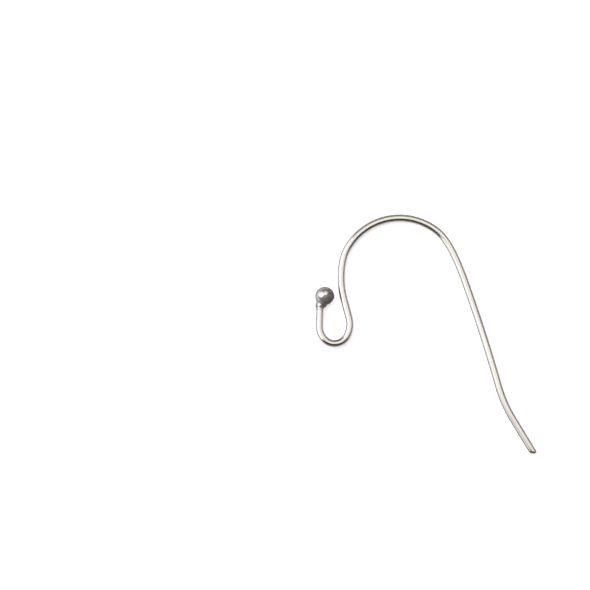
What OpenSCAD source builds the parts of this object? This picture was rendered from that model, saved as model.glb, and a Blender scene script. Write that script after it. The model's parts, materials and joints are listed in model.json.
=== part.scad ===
// Fish-hook ear wire: one round wire bent in one plane, with a small ball welded on its front end.
// It lies as it rests by itself on z = 0, carried by the ball, the outer side of the bow and the tail.
// The lower end of the leg runs along -Y, the bow is on the +Y side and the ball on the -X side.
// The origin is under the middle of the whole piece.

/* [Wire] */
// Diameter of the round wire
wire_d = 0.75; // [0.6:0.05:0.8]

/* [End ball] */
// Diameter of the ball
ball_d = 2.05; // [2:0.05:2.6]
// How far the ball's centre stands off the wire's axis, towards the shank
ball_offset = 0.5; // [0.2:0.05:0.5]
// Straight wire from the ball's surface to the loop, along the wire's axis
ball_leg = 2.3; // [1.8:0.05:4]

/* [Weld] */
// Thickness of the weld collar round the wire
collar_wall = 0.06; // [0.04:0.01:0.1]
// Length of the collar below the ball, along the wire's axis
collar_len = 0.55; // [0.3:0.05:1]
// Diameter of the weld bead in the corner between the ball and the wire
bead_d = 0.8; // [0.7:0.05:0.95]

/* [Drop loop] */
// Radius of the bend that opens the loop, on the wire's axis
loop_entry_r = 2; // [1.6:0.05:2.6]
// Turn of the bend that opens the loop
loop_entry_turn = 39; // [34:0.5:44]
// Radius of the bottom of the loop
loop_r = 1.5; // [1.35:0.05:2]
// Turn of the bottom of the loop
loop_turn = 115; // [110:0.5:120]
// Radius of the bend that closes the loop
loop_exit_r = 2.7; // [2.2:0.05:3.4]
// Turn of the bend that closes the loop
loop_exit_turn = 42; // [37:0.5:46]

/* [Shank] */
// Straight wire between the loop and the shank's bend
shank_len = 2.1; // [1.5:0.1:4]
// Radius of the shank's bend back towards the bow
shank_r = 9; // [7:0.25:12]
// Turn of the shank's bend
shank_turn = 26; // [20:0.5:30]

/* [Bow] */
// Radius of the front of the bow
front_r = 4.5; // [3.5:0.1:6]
// Turn of the front of the bow
front_turn = 19; // [14:0.5:24]
// Radius of the main bend of the bow
bow_r = 6.45; // [5.5:0.05:8]
// Turn of the main bend of the bow
bow_turn = 95; // [88:0.5:100]
// Radius of the shoulder, the tighter end of the bow
shoulder_r = 4.8; // [4:0.1:6.5]
// Turn of the shoulder
shoulder_turn = 19; // [14:0.5:24]
// Radius of the bend below the shoulder
drop_r = 10; // [8:0.5:14]
// Turn of the bend below the shoulder
drop_turn = 10; // [6:0.5:14]

/* [Leg and tail] */
// Radius of the easing bend at the top of the leg
ease_r = 29; // [22:0.5:40]
// Turn of the easing bend
ease_turn = 6; // [4:0.5:8]
// Length of the nearly straight leg
leg_len = 11.9; // [8:0.1:18]
// Turn of the leg over its whole length
leg_turn = 4; // [2:0.5:6]
// Radius of the bend that kicks the tail outwards
tail_bend_r = 14.5; // [10:0.5:20]
// Turn of the tail's bend
tail_bend_turn = 15.5; // [11:0.5:20]
// Straight length of the tail, with its rounded tip
tail_len = 4.45; // [3:0.05:7]
// Rounding of the tip's edge
tip_round = 0.28; // [0.1:0.02:0.28]

/* [Hidden] */

// Sides of a round section, sides of a full turn of a bend, and fewest steps along any bend
SECTION_SIDES = 64;
BEND_SIDES = 96;
BEND_STEPS = 8;
// Points taken along each bend to find how the wire rests
REST_STEPS = 40;
// Where two stretches of wire meet, a ball this much fatter than the wire joins them into one
JOINT_SWELL = 0.001;
SILVER = [0.78, 0.77, 0.75];

wire_r = wire_d / 2;
ball_r = ball_d / 2;
collar_r = wire_r + collar_wall;
bead_r = bead_d / 2;
// Depth below the ball's centre at which the wire's axis leaves the ball
ball_seat = sqrt(pow(ball_r, 2) - pow(ball_offset, 2));

// The bend table, a row for each stretch in the order that the wire runs, ball end first.
// Its columns are the straight run, the radius of the bend after it, and the turn of that bend,
// which is positive to the left, seen from above.
STRAIGHT = 0;
RADIUS = 1;
TURN = 2;
bends = [
    [ball_seat + ball_leg, loop_entry_r, loop_entry_turn],
    [0, loop_r, loop_turn],
    [0, loop_exit_r, loop_exit_turn],
    [shank_len, shank_r, -shank_turn],
    [0, front_r, -front_turn],
    [0, bow_r, -bow_turn],
    [0, shoulder_r, -shoulder_turn],
    [0, drop_r, -drop_turn],
    [0, ease_r, -ease_turn],
    [0, leg_len / radians(leg_turn), -leg_turn],
    [0, tail_bend_r, tail_bend_turn]
];
LEG_ROW = len(bends) - 2;

function radians(degrees) = degrees * PI / 180;
function sum_of_turns(last) = last < 0 ? 0 : bends[last][TURN] + sum_of_turns(last - 1);

// A place on the wire's axis, in the wire's own plane, is [x, y, heading]
function ahead(place, run) = [
    place[0] + run * cos(place[2]),
    place[1] + run * sin(place[2]),
    place[2]
];
function turned(place, radius, turn) =
    let (side = sign(turn), heading = place[2] + turn)
    [
        place[0] + side * radius * (sin(heading) - sin(place[2])),
        place[1] - side * radius * (cos(heading) - cos(place[2])),
        heading
    ];
function row_end(place, row) = turned(ahead(place, row[STRAIGHT]), row[RADIUS], row[TURN]);
function place_of_row(i) = i == 0 ? first_place : row_end(place_of_row(i - 1), bends[i - 1]);

// The leg ends along -Y, so the turns up to there set the first heading
first_place = [0, 0, -90 - sum_of_turns(LEG_ROW)];
places = [for (i = [0:len(bends)]) place_of_row(i)];
tail_place = places[len(bends)];
// The ball's centre, beside the point where the wire's axis begins
ball_place = ahead([first_place[0], first_place[1], first_place[2] + 90], ball_offset);

// Points along the bends of the wire's axis, and the end of the tail short of its round edge
wire_points = [
    for (row = [0:len(bends) - 1], step = [0:REST_STEPS])
        let (bend_start = ahead(places[row], bends[row][STRAIGHT]))
        turned(bend_start, bends[row][RADIUS], bends[row][TURN] * step / REST_STEPS)
];
tail_end = ahead(tail_place, tail_len - tip_round);

// The piece rests on the line from its tail to the outer side of its bow, and tips about that line
// until the ball, which is fatter than the wire, meets the ground too.
function bearing(from, to) = atan2(to[1] - from[1], to[0] - from[0]);
line_dir = min([for (p = wire_points) bearing(tail_end, p)]);
function along(p) = (p[0] - tail_end[0]) * cos(line_dir) + (p[1] - tail_end[1]) * sin(line_dir);
function across(p) = (p[1] - tail_end[1]) * cos(line_dir) - (p[0] - tail_end[0]) * sin(line_dir);
tip_over = asin((ball_r - wire_r) / across(ball_place));

// A point of the wire's plane as it lies, measured from the tail's end of that line
function lying(p) = [
    along(p) * cos(line_dir) - across(p) * cos(tip_over) * sin(line_dir),
    along(p) * sin(line_dir) + across(p) * cos(tip_over) * cos(line_dir),
    across(p) * sin(tip_over) + wire_r
];
function lying_dir(p) = lying(ahead(p, 1)) - lying(p);
// How far a tube of the wire's radius reaches from its axis along X or Y
function reach(p, axis, radius) = radius * sqrt(max(0, 1 - pow(lying_dir(p)[axis], 2)));
function lowest(axis) = min([
    for (p = wire_points) lying(p)[axis] - reach(p, axis, wire_r),
    lying(tail_end)[axis] - reach(tail_end, axis, wire_r - tip_round) - tip_round,
    lying(ball_place)[axis] - ball_r
]);
function highest(axis) = max([
    for (p = wire_points) lying(p)[axis] + reach(p, axis, wire_r),
    lying(tail_end)[axis] + reach(tail_end, axis, wire_r - tip_round) + tip_round,
    lying(ball_place)[axis] + ball_r
]);
middle = [for (axis = [0, 1]) (lowest(axis) + highest(axis)) / 2];

module laid_down() {
    translate([-middle[0], -middle[1], wire_r])
        rotate([0, 0, line_dir])
            rotate([tip_over, 0, 0])
                rotate([0, 0, -line_dir])
                    translate([-tail_end[0], -tail_end[1], 0])
                        children();
}

module at_place(place) {
    translate([place[0], place[1], 0])
        rotate([0, 0, place[2]])
            children();
}

module joint() {
    rotate([0, 90, 0])
        sphere(d = wire_d + 2 * JOINT_SWELL, $fn = SECTION_SIDES);
}

// Each stretch of wire starts at the origin and runs along +X
module straight_wire(run) {
    joint();
    rotate([0, 90, 0])
        cylinder(h = run, d = wire_d, $fn = SECTION_SIDES);
}

module left_bend(radius, turn) {
    joint();
    translate([0, radius, 0])
        rotate([0, 0, -90])
            rotate_extrude(angle = turn, $fn = max(BEND_SIDES, 360 * BEND_STEPS / turn))
                translate([radius, 0])
                    circle(d = wire_d, $fn = SECTION_SIDES);
}

module bend(radius, turn) {
    mirror([0, turn < 0 ? 1 : 0, 0])
        left_bend(radius, abs(turn));
}

module bend_row(row) {
    if (row[STRAIGHT] > 0) {
        straight_wire(row[STRAIGHT]);
    }
    translate([row[STRAIGHT], 0, 0])
        bend(row[RADIUS], row[TURN]);
}

// The straight tail, whose tip has a round edge
module tail() {
    joint();
    rotate([0, 90, 0])
        rotate_extrude($fn = SECTION_SIDES) {
            square([wire_r, tail_len - tip_round]);
            square([wire_r - tip_round, tail_len]);
            translate([wire_r - tip_round, tail_len - tip_round])
                intersection() {
                    circle(r = tip_round, $fn = SECTION_SIDES);
                    square(tip_round);
                }
        }
}

// The ball and the bead are turned so that their seams lie clear of the edges of the weld
module ball() {
    translate([0, ball_offset, 0])
        rotate([0, 0, 180])
            sphere(d = ball_d, $fn = SECTION_SIDES);
}

// The weld: a thin collar that starts inside the ball, and a bead in the corner on the inner side
module weld() {
    collar_top = ball_seat / 4;
    collar_end = ball_seat + collar_len - collar_wall;
    rotate([0, 90, 0])
        rotate_extrude($fn = SECTION_SIDES) {
            translate([0, collar_top])
                square([collar_r, collar_end - collar_top]);
            translate([wire_r, collar_end])
                circle(r = collar_wall, $fn = SECTION_SIDES);
        }
    translate([ball_seat, wire_r, 0])
        rotate([0, 0, 225])
            sphere(r = bead_r, $fn = SECTION_SIDES);
}

module ear_wire() {
    color(SILVER)
        laid_down() {
            at_place(first_place) {
                ball();
                weld();
            }
            for (i = [0:len(bends) - 1]) {
                at_place(places[i])
                    bend_row(bends[i]);
            }
            at_place(tail_place)
                tail();
        }
}

ear_wire();
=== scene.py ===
import json
import math

import bpy
import numpy as np
from bpy.props import FloatProperty, FloatVectorProperty, PointerProperty
from bpy.types import Operator, Panel, PropertyGroup
from mathutils import Euler, Matrix, Vector


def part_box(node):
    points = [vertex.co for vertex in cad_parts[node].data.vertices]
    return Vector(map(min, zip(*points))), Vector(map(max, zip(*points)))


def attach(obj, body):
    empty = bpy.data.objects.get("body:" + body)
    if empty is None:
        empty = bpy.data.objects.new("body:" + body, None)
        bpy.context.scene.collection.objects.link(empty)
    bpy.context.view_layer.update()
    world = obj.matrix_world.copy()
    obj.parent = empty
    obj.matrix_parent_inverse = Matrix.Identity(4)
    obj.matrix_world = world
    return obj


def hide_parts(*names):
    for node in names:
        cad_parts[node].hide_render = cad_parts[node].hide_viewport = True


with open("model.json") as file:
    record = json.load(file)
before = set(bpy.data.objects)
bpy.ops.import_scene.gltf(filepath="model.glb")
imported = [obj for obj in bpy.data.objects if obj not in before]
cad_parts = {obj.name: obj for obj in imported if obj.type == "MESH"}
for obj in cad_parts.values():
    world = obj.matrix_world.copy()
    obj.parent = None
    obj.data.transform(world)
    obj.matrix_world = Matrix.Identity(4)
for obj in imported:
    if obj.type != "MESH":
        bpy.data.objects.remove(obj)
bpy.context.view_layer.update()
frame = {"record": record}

bl_info = {
    "name": "Ear Wire",
    "version": (1, 0, 0),
    "blender": (4, 5, 0),
    "location": "3D View > Sidebar > Ear Wire",
    "description": "Bends a fish-hook ear wire, welds a ball on its front end and lights it on a pale floor",
    "category": "Mesh",
}

MM = 0.001
# The metal is shaped a thousand times life size, a unit to a millimetre, because the tools round off
# what is smaller. It comes down to its real size when it is laid down.
LOUPE = 1 / MM
CAD_NODE = "ear_wire"

# Sides of the wire and of the ball, and the widest turn and the longest run, in millimetres, of a
# step along the wire
WIRE_SIDES = 48
BALL_SIDES = 96
BEND_STEP = math.radians(2)
LONGEST_STEP = 0.16
SMOOTH_ANGLE = math.radians(35)
# Points taken along each bend to find how the wire rests
RESTING_STEPS = 40
# Points closer than this, in millimetres, are merged into one, in the wire and in the fused piece
SAME_POINT = 1e-5
SLIVER = 1e-3

# The last stretch of the tail, in radii of the wire. How far back its slanted cut lies, where 1 puts
# the cut's long side at the tail's full length. The steps in the cut's rounded edge.
TIP_RUN = 3
CUT_BACK = 0.8
TIP_STEPS = 8

# The side on which the ball slumped, from the way that the wire runs. The cap that is pushed in
# there starts this far out from the ball's middle, and the push reaches this far, in its radii.
SLUMP_TURN = math.radians(38)
SLUMP_CAP = 0.97
SLUMP_REACH = 0.7
# How the surface of the melted head is smoothed
MELT_SMOOTHING = {"factor": 0.5, "iterations": 12}
# How far the weld's bumps reach from its corner, in radii of the ball
WELD_REACH = 0.55
# Sizes of the bumps on the weld and on the ball, in millimetres
WELD_BUMP = 0.22
BALL_BUMP = 0.45

# The values that the mesh carries for its finish
WAY = "way_along_wire"
HEAT = "weld_heat"
CREVICE = "weld_crevice"
# Painted highlights on the ball and painted shade on the collar's far flank
SHADE_AND_HIGHLIGHTS = "painted_shade_and_highlights"

# The collar's outline from inside the ball to its end, as shares of its length and of its wall
COLLAR_OUTLINE = (
    {"down": -0.75, "out": -0.4},
    {"down": -0.35, "out": 0.3},
    {"down": -0.12, "out": 1.4},
    {"down": 0.12, "out": 1.8},
    {"down": 0.34, "out": 1.4},
    {"down": 0.55, "out": 0.8},
    {"down": 0.76, "out": 0.4},
    {"down": 0.88, "out": 0.7},
    {"down": 1.0, "out": -0.3},
)

# The ball's painted highlights, bright patches where the lamps' highlights fall, with their turns from the
# way that the wire runs, and how far out they lie, how far they reach and how wide their edges are, in radii
# of the ball
PAINTED_HIGHLIGHTS = (
    {"turn": 246, "out": 0.48, "reach": 0.43},
    {"turn": 172, "out": 0.37, "reach": 0.33},
)
PAINTED_HIGHLIGHT_EDGE = 0.22
# A painted reflection makes the ball's outer rim bright too, most of all where it faces this way
PAINTED_RIM_TURN = 240
PAINTED_RIM_START = 0.58
PAINTED_RIM_EDGE = 0.2
# How far from the ball's middle its painted highlights and its dull colour end, over what width they fade
# out there, and how far the ball's finish reaches, in its radii
BALL_PAINT_END = 1.06
BALL_PAINT_EDGE = 0.04
FINISH_END = 1.1

# Painted shade darkens the flank of the collar that is turned away from the ball, between these distances
# from the wire's axis, in millimetres
PAINTED_FLANK_SHADE = {"from": 0.1, "to": 0.3, "shade": 0.55}
# How far the heat tint runs down the wire from the weld, in millimetres
TINT_REACH = 0.8
# Scale and painted shade in the corner between the ball and the wire, and scale in spots burnt on the top of
# the weld, which lie down the wire from the ball and left of its axis. All lengths are in millimetres.
CORNER_SHADE = {"reach": 0.38, "shade": 0.75}
BURNT_SPOTS = (
    {"down": 0.1, "left": 0.17, "reach": 0.18, "shade": 0.9},
    {"down": 0.4, "left": 0.27, "reach": 0.17, "shade": 0.7},
)

# How much rougher the wire is in its draw lines, and where along it the polish ends, in millimetres
LINE_ROUGHNESS = 0.12
POLISH_END = {"from": 42.0, "to": 50.0}

# The softboxes and cards, with their middles in metres in the picture's axes, X right and Y up
SOFTBOXES = (
    {
        "name": "ceiling_softbox",
        "place": (0.1, 0.205, 0.5),
        "azimuth": 90,
        "tilt": 0,
        "size": (1.4, 0.75),
        "shine": "ceiling",
        "tint": (1, 0.976, 0.905),
    },
    {
        "name": "window_softbox",
        "place": (-0.45, 0.02, 0.66),
        "azimuth": 180,
        "tilt": 90,
        "size": (0.85, 1.28),
        "shine": "window",
        "tint": (0.97, 0.99, 1),
    },
    {
        "name": "top_card",
        "place": (0.15, 1.0, 0.4),
        "azimuth": 90,
        "tilt": 90,
        "size": (1.9, 0.8),
        "shine": "top_card",
        "tint": (1, 0.97, 0.93),
    },
    {
        "name": "right_card",
        "place": (1.0, 0.1, 0.4),
        "azimuth": 0,
        "tilt": 90,
        "size": (1.3, 0.8),
        "shine": "right_card",
        "tint": (1, 0.95, 0.92),
    },
)

# The lights for the paper alone. The spread is how wide the light looks, in degrees.
FILLS = (
    {
        "name": "key_fill",
        "azimuth": 122,
        "tilt": 26,
        "spread": 52,
        "shine": "key_fill",
        "tint": (1, 0.98, 0.95),
    },
    {
        "name": "sky_fill",
        "azimuth": 90,
        "tilt": 0,
        "spread": 150,
        "shine": "sky_fill",
        "tint": (0.84, 0.9, 1),
    },
)

tail_pin = next(m for m in frame["record"]["mounts"] if m["name"] == "tail")


def length(name, description, default):
    """A length, given in millimetres and kept in metres."""
    return FloatProperty(
        name=name, description=description, default=default * MM, precision=6, unit="LENGTH"
    )


def turn(name, description, default):
    """An angle, given in degrees and kept in radians."""
    return FloatProperty(
        name=name, description=description, default=math.radians(default), subtype="ANGLE"
    )


def share(name, description, default):
    return FloatProperty(
        name=name, description=description, default=default, min=0, max=1, subtype="FACTOR"
    )


def brightness(name, description, default):
    """How bright a light or a card looks, where 1 is white."""
    return FloatProperty(name=name, description=description, default=default, min=0)


def colour(name, description, default):
    """A colour in linear light."""
    return FloatVectorProperty(
        name=name, description=description, default=default, size=3, min=0, max=1, subtype="COLOR"
    )


class WireSizes(PropertyGroup):
    """Sizes of the bent wire, from the ball to the tip."""

    diameter: length("Wire", "Diameter of the round wire", 2 * tail_pin["dims"]["r_mm"])
    ball_leg: length("Ball leg", "Straight wire from the ball's surface to the loop", 2.3)
    loop_entry_r: length("Loop entry radius", "Radius of the bend that opens the loop", 2)
    loop_entry_turn: turn("Loop entry turn", "Turn of the bend that opens the loop", 39)
    loop_r: length("Loop radius", "Radius of the bottom of the loop", 1.5)
    loop_turn: turn("Loop turn", "Turn of the bottom of the loop", 115)
    loop_exit_r: length("Loop exit radius", "Radius of the bend that closes the loop", 2.7)
    loop_exit_turn: turn("Loop exit turn", "Turn of the bend that closes the loop", 42)
    shank_len: length("Shank", "Straight wire between the loop and the shank's bend", 2.1)
    shank_r: length("Shank radius", "Radius of the shank's bend back towards the bow", 9)
    shank_turn: turn("Shank turn", "Turn of the shank's bend", 26)
    front_r: length("Front radius", "Radius of the front of the bow", 4.5)
    front_turn: turn("Front turn", "Turn of the front of the bow", 19)
    bow_r: length("Bow radius", "Radius of the main bend of the bow", 6.45)
    bow_turn: turn("Bow turn", "Turn of the main bend of the bow", 95)
    shoulder_r: length("Shoulder radius", "Radius of the tighter end of the bow", 4.8)
    shoulder_turn: turn("Shoulder turn", "Turn of the tighter end of the bow", 19)
    drop_r: length("Drop radius", "Radius of the bend below the shoulder", 10)
    drop_turn: turn("Drop turn", "Turn of the bend below the shoulder", 10)
    ease_r: length("Easing radius", "Radius of the easing bend at the top of the leg", 29)
    ease_turn: turn("Easing turn", "Turn of the easing bend", 6)
    leg_len: length("Leg", "Length of the nearly straight leg", 11.9)
    leg_turn: turn("Leg turn", "Turn of the leg over its whole length", 4)
    tail_bend_r: length("Tail bend radius", "Radius of the bend that kicks the tail outwards", 14.5)
    tail_bend_turn: turn("Tail bend turn", "Turn of the tail's bend", 15.5)
    tail_len: length("Tail", "Straight length of the tail, with its rounded tip", 4.45)
    tip_round: length("Tip rounding", "Rounding of the tip's edge", 0.33)
    tip_slant: turn("Tip slant", "How far the cut at the tip is off square", 24)


class BallSizes(PropertyGroup):
    """Sizes of the ball and of its weld."""

    diameter: length("Ball", "Diameter of the ball", 2.05)
    offset: length("Ball offset", "How far the ball stands off the wire's axis, towards the shank", 0.5)
    collar_wall: length("Collar wall", "How far the weld collar stands proud of the wire", 0.06)
    collar_len: length("Collar", "Length of the collar below the ball", 0.55)
    bead: length("Bead", "Diameter of the weld bead in the corner between the ball and the wire", 0.74)
    melt: length("Melt", "Size of the grid on which the ball, the collar and the bead melt together", 0.022)
    weld_bumps: length("Weld bumps", "How far the surface of the weld wanders", 0.05)
    ball_bumps: length("Ball bumps", "How far the surface of the ball wanders", 0.012)
    slump: length("Slump", "How far the side of the ball that faces the loop is flattened", 0.085)


class Finish(PropertyGroup):
    """Colours and roughness of the metal."""

    steel: colour("Steel", "Colour of the drawn and polished wire", (0.75, 0.736, 0.712))
    line_colour: colour(
        "Draw lines", "Colour in the lines that the drawing die left along the wire", (0.47, 0.458, 0.435)
    )
    line_polish: share("Line polish", "How much of the lines is left where the wire is polished most", 0.5)
    steel_roughness: share("Steel roughness", "Roughness of the polished wire", 0.14)
    # The ball's colour in its painted highlights
    ball_highlight_colour: colour("Ball", "Colour of the ball where it is rubbed bright", (0.81, 0.815, 0.782))
    ball_roughness: share("Ball roughness", "Roughness of the bright patches of the ball", 0.34)
    # The ball's own dull colour, also used for the painted shade on the collar's far flank
    ball_dull_and_shade_colour: colour(
        "Ball scale", "Colour of the dull skin that the melt left on the ball", (0.21, 0.203, 0.2)
    )
    scale_blotches: colour(
        "Ball blotches", "Colour of the paler blotches in the dull skin", (0.38, 0.365, 0.35)
    )
    scale_roughness: share("Scale roughness", "Roughness of the dull skin of the ball", 0.75)
    # Also the colour of the painted shade in the corner between the ball and the wire
    crevice_colour: colour("Crevice", "Colour of the thick scale in the weld", (0.14, 0.08, 0.07))
    tint: colour("Heat tint", "Colour of the heat tint on the wire beside the weld", (0.68, 0.64, 0.58))


class Studio(PropertyGroup):
    """The floor, the camera and the soft lights."""

    floor_colour: colour("Floor", "Colour of the paper that the piece lies on", (0.86, 0.86, 0.86))
    floor_in_metal: share(
        "Floor in metal", "How bright the paper looks in the metal, against how it looks itself", 0.7
    )
    floor_glow: brightness("Floor glow", "How much brighter the paper is for the camera alone", 0.65)
    floor_size: length("Floor size", "Length of the floor's sides", 4000)
    lens: length("Lens", "Focal length of the camera", 300)
    field: length("Field", "Width of what the picture shows", 63.1)
    aim_x: length("Aim X", "Where the camera aims, along X", -10.713)
    aim_y: length("Aim Y", "Where the camera aims, along Y", 8.96)
    picture_turn: turn("Picture turn", "How far the camera is turned about the line of sight", -15.806)
    ceiling: brightness("Ceiling", "Brightness of the wide softbox above the piece", 1.2)
    window: brightness("Window", "Brightness of the tall softbox on the left", 1.35)
    top_card: brightness("Top card", "Brightness of the grey card beyond the top of the picture", 0.15)
    right_card: brightness("Right card", "Brightness of the grey card on the right", 0.22)
    key_fill: brightness("Key fill", "Light on the paper from the top, which casts the soft shadows", 0.75)
    sky_fill: brightness("Sky fill", "Light on the paper from all over", 0.03)
    room: colour("Room", "Light of the dim room, as the metal shows it", (0.07, 0.054, 0.062))
    backdrop: colour("Backdrop", "Colour beyond the floor, as the camera shows it", (0.9, 0.9, 0.9))


def settings(context):
    """The sizes of the wire and of its ball."""
    return context.scene.ear_wire_sizes, context.scene.ear_wire_ball


def only(*objs):
    """Selects these objects alone, in object mode, with the first one active."""
    if bpy.context.object and bpy.context.object.mode != "OBJECT":
        bpy.ops.object.mode_set(mode="OBJECT")
    bpy.ops.object.select_all(action="DESELECT")
    for obj in objs:
        obj.select_set(True)
    bpy.context.view_layer.objects.active = objs[0]


def apply_modifier(obj, kind, **values):
    """Adds a modifier with these values and applies it."""
    only(obj)
    bpy.ops.object.modifier_add(type=kind)
    modifier = obj.modifiers[-1]
    for name, value in values.items():
        setattr(modifier, name, value)
    bpy.ops.object.modifier_apply(modifier=modifier.name)


def corners(obj):
    """The object's vertices as an array."""
    points = np.empty(len(obj.data.vertices) * 3)
    obj.data.vertices.foreach_get("co", points)
    return points.reshape(-1, 3)


# A place on the wire's axis is (x, y, heading), in the wire's own plane


def ahead(place, run):
    x, y, heading = place
    return x + run * math.cos(heading), y + run * math.sin(heading), heading


def beside(place, offset):
    """The point that lies this far to the left of a place."""
    x, y, heading = place
    return x - offset * math.sin(heading), y + offset * math.cos(heading)


def turned(place, radius, angle):
    """The place at the end of a bend, which turns left where the angle is positive."""
    side = math.copysign(radius, angle)
    heading = place[2] + angle
    x, y = beside(place, side)
    return x + side * math.sin(heading), y - side * math.cos(heading), heading


def seat_depth(ball):
    """How far below the ball's centre the wire's axis leaves the ball, in millimetres."""
    return math.sqrt((ball.diameter / 2) ** 2 - ball.offset**2) * LOUPE


def bend_table(wire, ball):
    """(straight run, radius, turn) of each stretch, ball end first, in millimetres and radians."""
    rows = (
        (seat_depth(ball) * MM + wire.ball_leg, wire.loop_entry_r, wire.loop_entry_turn),
        (0, wire.loop_r, wire.loop_turn),
        (0, wire.loop_exit_r, wire.loop_exit_turn),
        (wire.shank_len, wire.shank_r, -wire.shank_turn),
        (0, wire.front_r, -wire.front_turn),
        (0, wire.bow_r, -wire.bow_turn),
        (0, wire.shoulder_r, -wire.shoulder_turn),
        (0, wire.drop_r, -wire.drop_turn),
        (0, wire.ease_r, -wire.ease_turn),
        (0, wire.leg_len / wire.leg_turn, -wire.leg_turn),
        (0, wire.tail_bend_r, wire.tail_bend_turn),
    )
    return [(run * LOUPE, radius * LOUPE, angle) for run, radius, angle in rows]


def first_place(rows):
    """The leg ends along -Y, so the turns up to there set the first heading."""
    return 0.0, 0.0, -math.pi / 2 - sum(angle for _, _, angle in rows[:-1])


def tail_place(rows):
    place = first_place(rows)
    for run, radius, angle in rows:
        place = turned(ahead(place, run), radius, angle)
    return place


def add_ring(place, radius):
    """A filled ring square to the wire, which extrudes into a closed rod."""
    x, y, heading = place
    bpy.ops.object.select_all(action="DESELECT")
    bpy.ops.mesh.primitive_circle_add(
        vertices=WIRE_SIDES,
        radius=radius,
        fill_type="NGON",
        location=(x, y, 0),
        rotation=(math.pi / 2, 0, heading + math.pi / 2),
    )
    bpy.ops.object.transform_apply(location=True, rotation=True, scale=True)
    bpy.ops.object.mode_set(mode="EDIT")
    bpy.ops.mesh.select_all(action="SELECT")
    return bpy.context.object


def extrude_ahead(place, run):
    """Draws the selected end of a rod out along the wire in short steps."""
    steps = math.ceil(run / LONGEST_STEP)
    step = Vector((math.cos(place[2]), math.sin(place[2]), 0)) * (run / steps)
    for _ in range(steps):
        bpy.ops.mesh.extrude_region_move(TRANSFORM_OT_translate={"value": step})


def spin_round(place, radius, angle):
    """Bends the selected end of a rod on round the centre of its bend."""
    centre = beside(place, math.copysign(radius, angle))
    steps = math.ceil(abs(angle) * max(1 / BEND_STEP, radius / LONGEST_STEP))
    bpy.ops.mesh.spin(steps=steps, angle=-angle, center=(*centre, 0), axis=(0, 0, 1))


def close_shell(merge=SAME_POINT):
    """Merges points this close in the mesh in edit mode, and turns its faces outwards."""
    bpy.ops.mesh.select_all(action="SELECT")
    bpy.ops.mesh.remove_doubles(threshold=merge)
    bpy.ops.mesh.normals_make_consistent(inside=False)
    bpy.ops.object.mode_set(mode="OBJECT")


def cut_tip(rod, wire, place):
    """Draws the tail out, cuts its end off at a slant, longer on the left, and rounds its edge."""
    radius = wire.diameter / 2 * LOUPE
    tip_run = TIP_RUN * radius
    tip_start = ahead(place, wire.tail_len * LOUPE - tip_run)
    extrude_ahead(place, wire.tail_len * LOUPE - tip_run)
    # The last stretch is drawn in one step, so that the bevel has room
    forward = Vector((math.cos(place[2]), math.sin(place[2]), 0))
    bpy.ops.mesh.extrude_region_move(TRANSFORM_OT_translate={"value": forward * (tip_run + radius)})
    bpy.ops.object.mode_set(mode="OBJECT")
    for face in rod.data.polygons:
        face.select = (face.center - Vector((*tip_start[:2], 0))).dot(forward) > 0
    x, y, heading = ahead(tip_start, tip_run - CUT_BACK * radius * math.tan(wire.tip_slant))
    normal = Vector((math.cos(heading - wire.tip_slant), math.sin(heading - wire.tip_slant), 0))
    bpy.ops.object.mode_set(mode="EDIT")
    bpy.ops.mesh.bisect(plane_co=(x, y, 0), plane_no=normal, use_fill=True, clear_outer=True)
    close_shell()
    cap = max(rod.data.polygons, key=lambda face: (face.center - Vector((x, y, 0))).dot(forward))
    for part in (*rod.data.vertices, *rod.data.edges, *rod.data.polygons):
        part.select = False
    cap.select = True
    bpy.ops.object.mode_set(mode="EDIT")
    bpy.ops.mesh.bevel(offset=wire.tip_round * LOUPE, segments=TIP_STEPS, affect="EDGES")


class EARWIRE_OT_bend_wire(Operator):
    """Bends the wire from its bend table, and cuts and rounds its tip"""

    bl_idname = "ear_wire.bend_wire"
    bl_label = "Bend the wire"

    def execute(self, context):
        wire, ball = settings(context)
        rows = bend_table(wire, ball)
        place = first_place(rows)
        rod = add_ring(place, wire.diameter / 2 * LOUPE)
        rod.name = "bent_wire"
        for run, radius, angle in rows:
            if run > 0:
                extrude_ahead(place, run)
            place = ahead(place, run)
            spin_round(place, radius, angle)
            place = turned(place, radius, angle)
        cut_tip(rod, wire, place)
        close_shell()
        return {"FINISHED"}


def add_collar(place, wire, ball):
    """The rippled collar that the weld leaves round the wire, closed at both ends."""
    seat = ahead(place, seat_depth(ball))
    rows = [
        {
            "place": ahead(seat, row["down"] * ball.collar_len * LOUPE),
            "radius": (wire.diameter / 2 + row["out"] * ball.collar_wall) * LOUPE,
        }
        for row in COLLAR_OUTLINE
    ]
    collar = add_ring(rows[0]["place"], rows[0]["radius"])
    for last, row in zip(rows, rows[1:]):
        step = Vector(row["place"]) - Vector(last["place"])
        bpy.ops.mesh.extrude_region_move(TRANSFORM_OT_translate={"value": (step.x, step.y, 0)})
        bpy.ops.transform.resize(value=[row["radius"] / last["radius"]] * 3)
    close_shell()
    return collar


def add_ball(centre, radius):
    x, y = centre
    bpy.ops.object.select_all(action="DESELECT")
    bpy.ops.mesh.primitive_uv_sphere_add(
        segments=BALL_SIDES, ring_count=BALL_SIDES // 2, radius=radius, location=(x, y, 0)
    )
    bpy.ops.object.transform_apply(location=True, rotation=True, scale=True)
    return bpy.context.object


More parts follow.
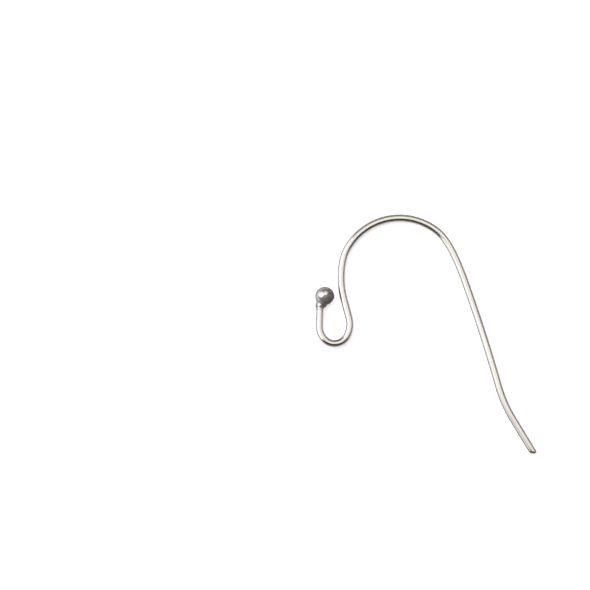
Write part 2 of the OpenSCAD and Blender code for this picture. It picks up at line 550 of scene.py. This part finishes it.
def flatten_ball(head, centre, radius, heading, depth):
    """Pushes the side of the ball that faces the loop in a little, as it slumped there."""
    towards = Vector((math.cos(heading + SLUMP_TURN), math.sin(heading + SLUMP_TURN), 0))
    middle = Vector((*centre, 0))
    only(head)
    bpy.ops.object.mode_set(mode="EDIT")
    bpy.ops.mesh.select_mode(type="VERT")
    bpy.ops.mesh.select_all(action="DESELECT")
    bpy.ops.object.mode_set(mode="OBJECT")
    for vertex in head.data.vertices:
        vertex.select = (vertex.co - middle).dot(towards) > SLUMP_CAP * radius
    bpy.ops.object.mode_set(mode="EDIT")
    bpy.ops.transform.translate(
        value=-depth * towards,
        use_proportional_edit=True,
        proportional_edit_falloff="SMOOTH",
        proportional_size=SLUMP_REACH * radius,
    )
    bpy.ops.object.mode_set(mode="OBJECT")


def fade(distance, reach):
    """1 at no distance, falling smoothly to 0 well past its reach."""
    return np.exp(-((distance / reach) ** 2))


def bump_up(obj, name, weights, size, strength):
    """Lets the surface wander where the weights are high, in bumps of this size."""
    group = obj.vertex_groups.new(name=name)
    for index, weight in enumerate(weights):
        group.add([index], float(weight), "REPLACE")
    texture = bpy.data.textures.new(name, "CLOUDS")
    texture.noise_scale = size
    texture.noise_depth = 2
    apply_modifier(
        obj,
        "DISPLACE",
        texture=texture,
        vertex_group=name,
        strength=strength,
        mid_level=0.5,
        texture_coords="LOCAL",
    )
    obj.vertex_groups.clear()
    bpy.data.textures.remove(texture)


class EARWIRE_OT_weld_ball(Operator):
    """Melts the ball, the weld collar and the bead in their corner into one head"""

    bl_idname = "ear_wire.weld_ball"
    bl_label = "Weld the ball"

    def execute(self, context):
        wire, ball = settings(context)
        place = first_place(bend_table(wire, ball))
        radius = ball.diameter / 2 * LOUPE
        seat = ahead(place, seat_depth(ball))
        corner = beside(seat, wire.diameter / 2 * LOUPE)
        centre = beside(place, ball.offset * LOUPE)
        head = add_ball(centre, radius)
        flatten_ball(head, centre, radius, place[2], ball.slump * LOUPE)
        bead = add_ball(corner, ball.bead / 2 * LOUPE)
        collar = add_collar(place, wire, ball)
        only(head, bead, collar)
        bpy.ops.object.join()
        head.name = "welded_head"
        apply_modifier(head, "REMESH", mode="VOXEL", voxel_size=ball.melt * LOUPE, adaptivity=0)
        apply_modifier(head, "SMOOTH", **MELT_SMOOTHING)
        from_corner = np.linalg.norm(corners(head) - np.array([*corner, 0]), axis=1)
        in_weld = fade(from_corner, WELD_REACH * radius)
        bump_up(head, "weld_bumps", in_weld, WELD_BUMP, ball.weld_bumps * LOUPE)
        bump_up(head, "ball_bumps", 1 - in_weld, BALL_BUMP, ball.ball_bumps * LOUPE)
        return {"FINISHED"}


def way_along(points, rows, tail_len):
    """For each point in the wire's plane, (length along the wire, how far left of its axis, height)."""
    place = first_place(rows)
    run_before = 0.0
    best = np.full(len(points), np.inf)
    way = np.zeros((len(points), 3))

    def offer(along, left, run, low, high):
        """Keeps this way for the points that lie nearest to this stretch, and returns its run."""
        clamped = np.clip(along, low, high)
        distance = np.hypot(left, points[:, 2]) + np.abs(along - clamped)
        nearer = distance < best
        best[nearer] = distance[nearer]
        way[nearer, 0] = (run_before + along)[nearer]
        way[nearer, 1] = left[nearer]
        way[nearer, 2] = points[nearer, 2]
        return run

    for number, (run, radius, angle) in enumerate([*rows, (tail_len, 1, 0)]):
        if run > 0:
            gap = points[:, :2] - np.array(place[:2])
            forward = np.array([math.cos(place[2]), math.sin(place[2])])
            left = np.array([-forward[1], forward[0]])
            low = -np.inf if number == 0 else 0
            high = np.inf if angle == 0 else run
            run_before += offer(gap @ forward, gap @ left, run, low, high)
            place = ahead(place, run)
        if angle:
            side = math.copysign(1, angle)
            gap = points[:, :2] - np.array(beside(place, side * radius))
            outward = place[2] - side * math.pi / 2
            bearing = (np.arctan2(gap[:, 1], gap[:, 0]) - outward + math.pi) % (2 * math.pi) - math.pi
            left = side * (radius - np.hypot(gap[:, 0], gap[:, 1]))
            run = abs(angle) * radius
            run_before += offer(side * bearing * radius, left, run, 0, run)
            place = turned(place, radius, angle)
    return way


def ramp(values, start, run):
    """0 up to the start, rising to 1 at the end of the run."""
    return np.clip((values - start) / run, 0, 1)


def spokes_of_ball(points, place, ball):
    """Where the points lie from the ball's middle, in its radii."""
    centre = np.array([*beside(place, ball.offset * LOUPE), 0])
    return (points - centre) / (ball.diameter / 2 * LOUPE)


def out_along(place, degrees):
    """The direction that is turned this far to the left of the way that the wire runs."""
    angle = place[2] + math.radians(degrees)
    return np.array([math.cos(angle), math.sin(angle)])


def paint_shade_and_highlights(points, place, ball):
    """1 where the ball keeps its dull colour and where painted shade darkens the collar's far flank, and 0
    in the ball's painted highlights.
    """
    spokes = spokes_of_ball(points, place, ball)
    from_middle = np.linalg.norm(spokes[:, :2], axis=1)
    # A painted reflection brightens the ball's rim, most on the side that faces the lights
    facing = spokes[:, :2] @ out_along(place, PAINTED_RIM_TURN) / np.maximum(from_middle, PAINTED_RIM_START)
    bright = (0.5 + 0.5 * facing) * ramp(from_middle, PAINTED_RIM_START, PAINTED_RIM_EDGE)
    # Bright patches painted where the lamps' highlights fall on the ball
    for patch in PAINTED_HIGHLIGHTS:
        middle = patch["out"] * out_along(place, patch["turn"])
        apart = np.linalg.norm(spokes[:, :2] - middle, axis=1)
        bright = np.maximum(bright, ramp(patch["reach"] - apart, 0, PAINTED_HIGHLIGHT_EDGE))
    on_ball = ramp(BALL_PAINT_END - np.linalg.norm(spokes, axis=1), 0, BALL_PAINT_EDGE)
    # Painted shade on the collar's flank that is turned away from the ball
    right = (points[:, :2] - np.array(place[:2])) @ out_along(place, -90)
    flank = ramp(right, PAINTED_FLANK_SHADE["from"], PAINTED_FLANK_SHADE["to"] - PAINTED_FLANK_SHADE["from"])
    return (1 - bright) * on_ball + PAINTED_FLANK_SHADE["shade"] * flank * (1 - on_ball)


def scale_and_corner_shade(points, seat, wire):
    """1 where the weld's scale and the painted shade in its corner are darkest, falling to 0 on clean metal.
    """
    radius = wire.diameter / 2 * LOUPE
    corner = np.array([*beside(seat, radius), 0])
    from_corner = np.linalg.norm(points - corner, axis=1)
    # Painted shade, with scale, in the corner between the ball and the wire
    scale_and_shade = CORNER_SHADE["shade"] * fade(from_corner, CORNER_SHADE["reach"])
    for spot in BURNT_SPOTS:
        middle = np.array([*beside(ahead(seat, spot["down"]), spot["left"]), radius])
        from_middle = np.linalg.norm(points - middle, axis=1)
        scale_and_shade = np.maximum(scale_and_shade, spot["shade"] * fade(from_middle, spot["reach"]))
    return scale_and_shade


def carry(obj, name, kind, values):
    """Stores a value for each vertex on the mesh, under this name."""
    field = "vector" if kind == "FLOAT_VECTOR" else "value"
    obj.data.attributes.new(name, kind, "POINT").data.foreach_set(field, values.astype(np.float32).ravel())


def resting_matrix(wire, ball):
    """Lays the wire's plane down as it rests, on the ball, the outer side of the bow and the tail."""
    rows = bend_table(wire, ball)
    place = first_place(rows)
    head = np.array(beside(place, ball.offset * LOUPE))
    tail = ahead(tail_place(rows), (wire.tail_len - wire.tip_round) * LOUPE)
    bearings = []
    for run, radius, angle in rows:
        place = ahead(place, run)
        for step in range(RESTING_STEPS + 1):
            x, y, _ = turned(place, radius, angle * step / RESTING_STEPS)
            bearings.append(math.atan2(y - tail[1], x - tail[0]))
        place = turned(place, radius, angle)
    line = min(bearings)
    across = (head[1] - tail[1]) * math.cos(line) - (head[0] - tail[0]) * math.sin(line)
    tip_over = math.asin((ball.diameter - wire.diameter) / 2 * LOUPE / across)
    return (
        Matrix.Scale(MM, 4)
        @ Matrix.Rotation(line, 4, "Z")
        @ Matrix.Rotation(tip_over, 4, "X")
        @ Matrix.Rotation(-line, 4, "Z")
        @ Matrix.Translation((-tail[0], -tail[1], 0))
    )


def carry_finish(piece, wire, ball):
    """Stores on the mesh what its materials need, and returns which points belong to the weld."""
    rows = bend_table(wire, ball)
    place = first_place(rows)
    points = corners(piece)
    way = way_along(points, rows, wire.tail_len * LOUPE)
    past_weld = way[:, 0] - seat_depth(ball) - ball.collar_len * LOUPE
    carry(piece, WAY, "FLOAT_VECTOR", way)
    carry(piece, HEAT, "FLOAT", fade(np.maximum(past_weld, 0), TINT_REACH))
    # Scale and painted shade in the weld's corner
    carry(piece, CREVICE, "FLOAT", scale_and_corner_shade(points, ahead(place, seat_depth(ball)), wire))
    # Painted highlights on the ball and painted shade on the collar's far flank
    carry(piece, SHADE_AND_HIGHLIGHTS, "FLOAT", paint_shade_and_highlights(points, place, ball))
    in_ball = np.linalg.norm(spokes_of_ball(points, place, ball), axis=1) < FINISH_END
    return (past_weld < 0) | in_ball


def lay_down(piece, wire, ball):
    """Brings the piece down to its real size, as it rests on the floor."""
    only(piece)
    piece.matrix_world = resting_matrix(wire, ball)
    bpy.ops.object.transform_apply(location=True, rotation=True, scale=True)
    # The loop's outer side, the top of the bow and the ball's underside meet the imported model's box
    low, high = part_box(CAD_NODE)
    laid = corners(piece)
    piece.location = (low.x - laid[:, 0].min(), high.y - laid[:, 1].max(), low.z - laid[:, 2].min())
    bpy.ops.object.transform_apply(location=True, rotation=True, scale=True)


class EARWIRE_OT_finish_wire(Operator):
    """Fuses the wire and its head, gives them their finish and lays them down"""

    bl_idname = "ear_wire.finish_wire"
    bl_label = "Fuse and finish"

    def execute(self, context):
        wire, ball = settings(context)
        finish = context.scene.ear_wire_finish
        piece, head = bpy.data.objects["bent_wire"], bpy.data.objects["welded_head"]
        apply_modifier(piece, "BOOLEAN", operation="UNION", solver="EXACT", object=head)
        bpy.data.objects.remove(head)
        only(piece)
        bpy.ops.object.mode_set(mode="EDIT")
        close_shell(merge=SLIVER)

        welded = carry_finish(piece, wire, ball)
        piece.data.materials.clear()
        piece.data.materials.append(wire_material(finish))
        piece.data.materials.append(ball_material(finish))
        for face in piece.data.polygons:
            face.material_index = int(np.mean(welded[list(face.vertices)]) > 0.5)
        bpy.ops.object.shade_smooth_by_angle(angle=SMOOTH_ANGLE)
        lay_down(piece, wire, ball)

        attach(piece, "root")
        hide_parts(CAD_NODE)
        return {"FINISHED"}


def new_group(name, inputs, outputs):
    """A shader node group with its input and output sockets, each (name, kind, default)."""
    group = bpy.data.node_groups.new(name, "ShaderNodeTree")
    for socket_name, kind, default in inputs:
        socket = group.interface.new_socket(socket_name, in_out="INPUT", socket_type=kind)
        socket.default_value = default
    for socket_name, kind in outputs:
        group.interface.new_socket(socket_name, in_out="OUTPUT", socket_type=kind)
    source = group.nodes.new("NodeGroupInput")
    result = group.nodes.new("NodeGroupOutput")
    return group, source, result


def node(tree, kind, values=None, inputs=None):
    """Adds a node, sets its values, and links or sets its inputs."""
    made = tree.nodes.new(kind)
    for name, value in (values or {}).items():
        setattr(made, name, value)
    for name, value in (inputs or {}).items():
        if isinstance(value, bpy.types.NodeSocket):
            tree.links.new(value, made.inputs[name])
        else:
            made.inputs[name].default_value = value
    return made


def smooth_step(tree, value, low, high):
    """Rises smoothly from 0 at the low value to 1 at the high one."""
    step = node(
        tree,
        "ShaderNodeMapRange",
        {"interpolation_type": "SMOOTHSTEP"},
        {"Value": value, "From Min": low, "From Max": high},
    )
    return step.outputs[0]


def multiply_add(tree, value, factor, addend):
    made = node(tree, "ShaderNodeMath", {"operation": "MULTIPLY_ADD"}, {0: value, 1: factor, 2: addend})
    return made.outputs[0]


def draw_lines_group():
    """Fine lines that the drawing die leaves along a wire. Way is in millimetres."""
    group, source, result = new_group(
        "Draw Lines",
        [
            ("Way", "NodeSocketVector", (0, 0, 0)),
            ("Line Width", "NodeSocketFloat", 0.05),
            ("Line Length", "NodeSocketFloat", 4.0),
            ("Seed", "NodeSocketFloat", 0.0),
        ],
        [("Lines", "NodeSocketFloat")],
    )
    line_length, line_width = source.outputs["Line Length"], source.outputs["Line Width"]
    size = node(group, "ShaderNodeCombineXYZ", inputs={0: line_length, 1: line_width, 2: line_width})
    way = node(
        group,
        "ShaderNodeVectorMath",
        {"operation": "DIVIDE"},
        {0: source.outputs["Way"], 1: size.outputs[0]},
    )
    noise = node(
        group,
        "ShaderNodeTexNoise",
        {"noise_dimensions": "4D"},
        {"Vector": way.outputs[0], "W": source.outputs["Seed"], "Scale": 1.0, "Detail": 2.0},
    )
    group.links.new(smooth_step(group, noise.outputs[0], 0.35, 0.65), result.inputs["Lines"])
    return group


def grain_group():
    """Small pits and specks of a melted or tumbled surface. Position is in metres, Size in millimetres."""
    group, source, result = new_group(
        "Metal Grain",
        [
            ("Position", "NodeSocketVector", (0, 0, 0)),
            ("Size", "NodeSocketFloat", 0.05),
            ("Seed", "NodeSocketFloat", 0.0),
        ],
        [("Grain", "NodeSocketFloat")],
    )
    scale = node(group, "ShaderNodeMath", {"operation": "DIVIDE"}, {0: 1 / MM, 1: source.outputs["Size"]})
    noise = node(
        group,
        "ShaderNodeTexNoise",
        {"noise_dimensions": "4D"},
        {
            "Vector": source.outputs["Position"],
            "W": source.outputs["Seed"],
            "Scale": scale.outputs[0],
            "Detail": 3.0,
            "Roughness": 0.6,
        },
    )
    group.links.new(smooth_step(group, noise.outputs[0], 0.3, 0.7), result.inputs["Grain"])
    return group


def shared_group(name, make):
    return bpy.data.node_groups.get(name) or make()


def place_group(tree, group, inputs):
    return node(tree, "ShaderNodeGroup", {"node_tree": group}, inputs)


def mix_colour(tree, factor, first, second):
    made = node(tree, "ShaderNodeMix", {"data_type": "RGBA"}, {0: factor})
    for index, value in ((6, first), (7, second)):
        if isinstance(value, bpy.types.NodeSocket):
            tree.links.new(value, made.inputs[index])
        else:
            made.inputs[index].default_value = (*value, 1)
    return made.outputs[2]


def new_material(name):
    """A material and its node tree, with the metal's shader in it."""
    material = bpy.data.materials.new(name)
    material.use_nodes = True
    tree = material.node_tree
    shader = tree.nodes["Principled BSDF"]
    shader.inputs["Metallic"].default_value = 1
    return material, tree, shader


def wire_material(finish):
    """Drawn and polished steel wire, with heat tint beside the weld."""
    material, tree, shader = new_material("drawn_steel")
    way = node(tree, "ShaderNodeAttribute", {"attribute_name": WAY}).outputs["Vector"]
    heat = node(tree, "ShaderNodeAttribute", {"attribute_name": HEAT}).outputs["Fac"]
    position = node(tree, "ShaderNodeTexCoord").outputs["Object"]
    lines = shared_group("Draw Lines", draw_lines_group)
    grain = shared_group("Metal Grain", grain_group)
    broad = place_group(tree, lines, {"Way": way, "Line Width": 0.17, "Line Length": 14.0, "Seed": 8.0})
    fine = place_group(tree, lines, {"Way": way, "Line Width": 0.035, "Line Length": 6.0, "Seed": 2.0})
    specks = place_group(tree, grain, {"Position": position, "Size": 0.04, "Seed": 3.0})

    # The tail is polished least, so the lines show most there
    along = node(tree, "ShaderNodeSeparateXYZ", inputs={0: way}).outputs["X"]
    left_on = node(
        tree,
        "ShaderNodeMapRange",
        inputs={
            "Value": along,
            "From Min": POLISH_END["from"],
            "From Max": POLISH_END["to"],
            "To Min": finish.line_polish,
            "To Max": 1.0,
        },
    )
    drawn = multiply_add(tree, fine.outputs[0], 0.35, broad.outputs[0])
    streaks = node(tree, "ShaderNodeMath", {"operation": "MULTIPLY"}, {0: drawn, 1: left_on.outputs[0]})
    metal = mix_colour(tree, streaks.outputs[0], finish.steel, finish.line_colour)
    metal = mix_colour(tree, heat, metal, finish.tint)
    tree.links.new(metal, shader.inputs["Base Color"])

    rough = node(
        tree,
        "ShaderNodeMapRange",
        inputs={
            "Value": fine.outputs[0],
            "To Min": finish.steel_roughness,
            "To Max": finish.steel_roughness + LINE_ROUGHNESS,
        },
    )
    tree.links.new(rough.outputs[0], shader.inputs["Roughness"])

    height = multiply_add(tree, specks.outputs[0], 0.12, fine.outputs[0])
    bump = node(
        tree, "ShaderNodeBump", inputs={"Height": height, "Strength": 0.35, "Distance": 0.003 * MM}
    )
    tree.links.new(bump.outputs[0], shader.inputs["Normal"])
    return material


def ball_material(finish):
    """Melted metal of the ball and its weld, with painted highlights on the ball, painted shade on the
    collar's far flank, and scale and painted shade in the corner.
    """
    material, tree, shader = new_material("melted_steel")
    shader.inputs["Specular Tint"].default_value = (0.5, 0.5, 0.5, 1)
    crevice = node(tree, "ShaderNodeAttribute", {"attribute_name": CREVICE}).outputs["Fac"]
    # The ball's painted highlights and the collar's painted shade, as the mesh carries them
    scale = node(tree, "ShaderNodeAttribute", {"attribute_name": SHADE_AND_HIGHLIGHTS}).outputs["Fac"]
    position = node(tree, "ShaderNodeTexCoord").outputs["Object"]
    grain = shared_group("Metal Grain", grain_group)
    clouds = place_group(tree, grain, {"Position": position, "Size": 0.3, "Seed": 4.0})
    specks = place_group(tree, grain, {"Position": position, "Size": 0.09, "Seed": 5.0})

    # The edges of the painted highlights are broken up by the clouds and the specks
    patchy = multiply_add(tree, clouds.outputs[0], 0.3, scale)
    patchy = multiply_add(tree, specks.outputs[0], 0.2, patchy)
    dull = smooth_step(tree, patchy, 0.22, 1.2)
    blotches = place_group(tree, grain, {"Position": position, "Size": 0.2, "Seed": 6.0})
    dull_metal = mix_colour(tree, blotches.outputs[0], finish.ball_dull_and_shade_colour, finish.scale_blotches)
    # Painted highlights take the bright colour, the rest of the ball its dull colour
    metal = mix_colour(tree, dull, finish.ball_highlight_colour, dull_metal)
    # Scale and painted shade in the weld's corner
    metal = mix_colour(tree, crevice, metal, finish.crevice_colour)
    tree.links.new(metal, shader.inputs["Base Color"])

    rough = node(
        tree,
        "ShaderNodeMapRange",
        inputs={"Value": dull, "To Min": finish.ball_roughness, "To Max": finish.scale_roughness},
    )
    tree.links.new(rough.outputs[0], shader.inputs["Roughness"])

    bump = node(
        tree, "ShaderNodeBump", inputs={"Height": specks.outputs[0], "Strength": 0.5, "Distance": 0.012 * MM}
    )
    tree.links.new(bump.outputs[0], shader.inputs["Normal"])
    return material


def floor_material(studio):
    """Smooth white paper with a faint mottle. It is burnt out in the picture but not in the metal."""
    material, tree, shader = new_material("white_paper")
    shader.inputs["Metallic"].default_value = 0
    shader.inputs["Roughness"].default_value = 0.9
    position = node(tree, "ShaderNodeTexCoord").outputs["Object"]
    light_path = node(tree, "ShaderNodeLightPath")
    in_metal = light_path.outputs["Is Glossy Ray"]
    grain = shared_group("Metal Grain", grain_group)
    mottle = place_group(tree, grain, {"Position": position, "Size": 2.5, "Seed": 7.0})
    mottled = [0.985 * c for c in studio.floor_colour]
    paper = mix_colour(tree, mottle.outputs[0], studio.floor_colour, mottled)
    paper = mix_colour(tree, in_metal, paper, [studio.floor_in_metal * c for c in studio.floor_colour])
    tree.links.new(paper, shader.inputs["Base Color"])
    glow = mix_colour(tree, light_path.outputs["Is Camera Ray"], (0, 0, 0), [studio.floor_glow] * 3)
    tree.links.new(glow, shader.inputs["Emission Color"])
    shader.inputs["Emission Strength"].default_value = 1
    return material


def in_picture(studio):
    """Turns the picture's own axes, X to its right and Y to its top, into the scene's."""
    return Matrix.Rotation(studio.picture_turn, 4, "Z")


def add_light(studio, name, kind, place, azimuth, tilt):
    """A light at a place in the picture's axes. Tilt 0 faces straight down, and at 90 it stands
    upright and faces away from its azimuth, which is 0 on the right and 90 at the top."""
    bpy.ops.object.select_all(action="DESELECT")
    bpy.ops.object.light_add(type=kind)
    lamp = bpy.context.object
    lamp.name = name
    lamp.data.name = name
    facing = Euler((math.radians(tilt), 0, math.radians(azimuth + 90)))
    lamp.matrix_world = in_picture(studio) @ Matrix.LocRotScale(Vector(place), facing, None)
    lamp.visible_camera = False
    return lamp


def add_softbox(studio, name, place, azimuth, tilt, size, shine, tint):
    """A rectangular light for the metal alone, which looks as bright as its shine."""
    lamp = add_light(studio, name, "AREA", place, azimuth, tilt)
    lamp.data.shape = "RECTANGLE"
    lamp.data.size, lamp.data.size_y = size
    lamp.data.energy = shine * math.pi * size[0] * size[1]
    lamp.data.color = tint
    lamp.visible_diffuse = False
    return lamp


def add_fill(studio, name, azimuth, tilt, shine, spread, tint):
    """A light for the paper alone, which looks as bright as its shine where it is lit square on."""
    lamp = add_light(studio, name, "SUN", (0, 0, 0.5), azimuth, tilt)
    lamp.data.energy = shine * math.pi
    lamp.data.angle = math.radians(spread)
    lamp.data.color = tint
    lamp.visible_glossy = False
    return lamp


def dim_room(studio):
    """A room that is dim in the metal, and pale where the camera sees past the floor."""
    world = bpy.data.worlds.new("dim_room")
    world.use_nodes = True
    tree = world.node_tree
    to_camera = node(tree, "ShaderNodeLightPath").outputs["Is Camera Ray"]
    shade = mix_colour(tree, to_camera, studio.room, studio.backdrop)
    tree.links.new(shade, tree.nodes["Background"].inputs["Color"])
    return world


class EARWIRE_OT_studio(Operator):
    """Sets the pale floor, the soft lights, the dim room and the camera above the piece"""

    bl_idname = "ear_wire.studio"
    bl_label = "Set the studio"

    def execute(self, context):
        studio = context.scene.ear_wire_studio
        bpy.ops.object.select_all(action="DESELECT")
        bpy.ops.mesh.primitive_plane_add(size=studio.floor_size)
        floor = context.object
        floor.name = "paper_floor"
        floor.data.materials.append(floor_material(studio))

        for box in SOFTBOXES:
            add_softbox(
                studio,
                box["name"],
                box["place"],
                box["azimuth"],
                box["tilt"],
                box["size"],
                getattr(studio, box["shine"]),
                box["tint"],
            )
        for fill in FILLS:
            add_fill(
                studio,
                fill["name"],
                fill["azimuth"],
                fill["tilt"],
                getattr(studio, fill["shine"]),
                fill["spread"],
                fill["tint"],
            )
        context.scene.world = dim_room(studio)

        bpy.ops.object.camera_add(rotation=(0, 0, studio.picture_turn))
        camera = context.object
        camera.data.lens = studio.lens / MM
        distance = studio.field * camera.data.lens / camera.data.sensor_width
        camera.location = (studio.aim_x, studio.aim_y, distance)
        camera.data.clip_start = 0.01
        context.scene.camera = camera
        context.scene.view_settings.view_transform = "Standard"
        return {"FINISHED"}


class EARWIRE_PT_panel(Panel):
    """Lists the ear wire's pieces and its studio"""

    bl_label = "Ear Wire"
    bl_idname = "EARWIRE_PT_panel"
    bl_space_type = "VIEW_3D"
    bl_region_type = "UI"
    bl_category = "Ear Wire"

    def draw(self, context):
        for operator in OPERATORS:
            self.layout.operator(operator.bl_idname)
        for group in GROUPS:
            box = self.layout.box()
            for name in group["type"].__annotations__:
                box.prop(getattr(context.scene, group["name"]), name)


OPERATORS = (EARWIRE_OT_bend_wire, EARWIRE_OT_weld_ball, EARWIRE_OT_finish_wire, EARWIRE_OT_studio)
GROUPS = (
    {"name": "ear_wire_sizes", "type": WireSizes},
    {"name": "ear_wire_ball", "type": BallSizes},
    {"name": "ear_wire_finish", "type": Finish},
    {"name": "ear_wire_studio", "type": Studio},
)


def register():
    for group in GROUPS:
        bpy.utils.register_class(group["type"])
        setattr(bpy.types.Scene, group["name"], PointerProperty(type=group["type"]))
    for cls in (*OPERATORS, EARWIRE_PT_panel):
        bpy.utils.register_class(cls)


def unregister():
    for cls in (EARWIRE_PT_panel, *reversed(OPERATORS)):
        bpy.utils.unregister_class(cls)
    for group in reversed(GROUPS):
        delattr(bpy.types.Scene, group["name"])
        bpy.utils.unregister_class(group["type"])


def main():
    register()
    bpy.ops.ear_wire.bend_wire()
    bpy.ops.ear_wire.weld_ball()
    bpy.ops.ear_wire.finish_wire()
    bpy.ops.ear_wire.studio()


if __name__ == "__main__":
    main()
